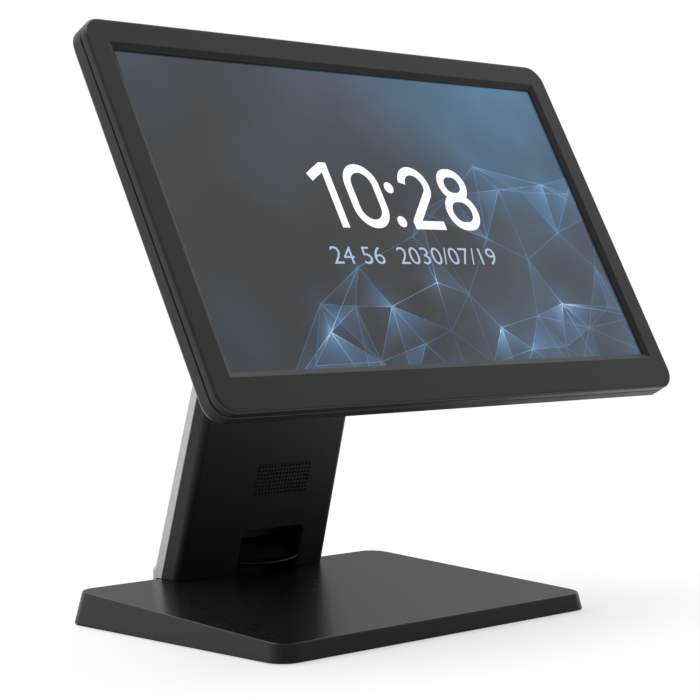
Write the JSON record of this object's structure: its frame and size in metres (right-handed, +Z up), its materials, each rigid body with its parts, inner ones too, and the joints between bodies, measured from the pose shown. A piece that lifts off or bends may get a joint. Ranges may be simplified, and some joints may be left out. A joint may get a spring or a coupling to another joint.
{
  "type": "pos touchscreen terminal",
  "caption": "Countertop point of sale terminal: wide touch display tilting on a friction hinge at the top of a leaning neck, over a weighted wedge base.",
  "frame": {"origin": "middle of the base's footprint, on the surface that the feet stand on", "axes": "+X to the right of a person facing the screen, +Y to the back, +Z up"},
  "size_m": [0.3795, 0.2106, 0.3432],
  "materials": {
    "bezel_black": "fine satin moulded black",
    "housing_black": "fine textured moulded black",
    "display_glass": "gloss cover glass over a lit picture",
    "foam_black": "closed cell foam",
    "panel_black": "dark panel face",
    "panel_white": "white light guide and reflector",
    "chassis_steel": "zinc plated sheet",
    "board_green": "solder mask",
    "board_blue": "solder mask",
    "chip_black": "moulded package",
    "heat_sink_aluminium": "milled fins",
    "ribbon_amber": "flexible film",
    "socket_metal": "plated shells",
    "button_black": "satin",
    "bracket_steel": "black powder coat",
    "shaft_steel": "ground",
    "screw_steel": "black zinc",
    "base_black": "satin moulded black",
    "plate_steel": "black powder coat",
    "foot_rubber": "matt",
    "neck_black": "satin moulded black",
    "neck_silver": "bead blasted and anodised silver",
    "grille_black": "satin perforated",
    "mesh_fabric": "acoustic cloth",
    "cone_rubber": "treated cone",
    "guide_black": "smooth moulded black",
    "barrel_painted": "black coat",
    "washer_bronze": "phosphor bronze"
  },
  "bodies": {
    "stand": {"base_cover": "base_black", "base_plate": "plate_steel", "base_feet": "foot_rubber", "base_screws": "screw_steel", "neck_core": "chassis_steel", "core_bolts": "screw_steel", "neck_front_shell": "neck_black", "neck_rear_shell": "neck_silver", "cable_grommet": "foot_rubber", "neck_top_cap": "neck_black", "neck_screws": "screw_steel", "speaker_grille": "grille_black", "acoustic_mesh": "mesh_fabric", "speaker_frame": "chip_black", "speaker_cone": "cone_rubber", "cable_guide": "guide_black", "hinge_barrel": "barrel_painted", "friction_washers": "washer_bronze"},
    "head": {"front_bezel": "bezel_black", "touch_glass": "display_glass", "display_gasket": "foam_black", "lcd_cell": "panel_black", "backlight_unit": "panel_white", "middle_frame": "chassis_steel", "main_board": "board_green", "main_chips": "chip_black", "heat_sink": "heat_sink_aluminium", "storage_module": "board_blue", "touch_board": "board_blue", "panel_ribbon": "ribbon_amber", "socket_row": "socket_metal", "rear_housing": "housing_black", "button_board": "board_green", "hinge_bracket": "bracket_steel", "hinge_shaft": "shaft_steel", "hinge_nuts": "screw_steel", "hinge_cover": "housing_black", "bezel_screws": "screw_steel", "bracket_screws": "screw_steel"},
    "power_button": {"power_button": "button_black"}
  },
  "joints": [
    {"name": "head_tilt", "type": "hinge", "parent": "stand", "child": "head", "pos_m": [0, 0.02393, 0.23902], "axis": [1, 0, 0], "range_deg": [-46, 13.8]},
    {"name": "power_button_press", "type": "slide", "parent": "head", "child": "power_button", "axis": [-1, 0, 0], "range_m": [0, 0.0008], "stiffness_N_per_m": 1200, "springref_m": -0.0003}
  ]
}
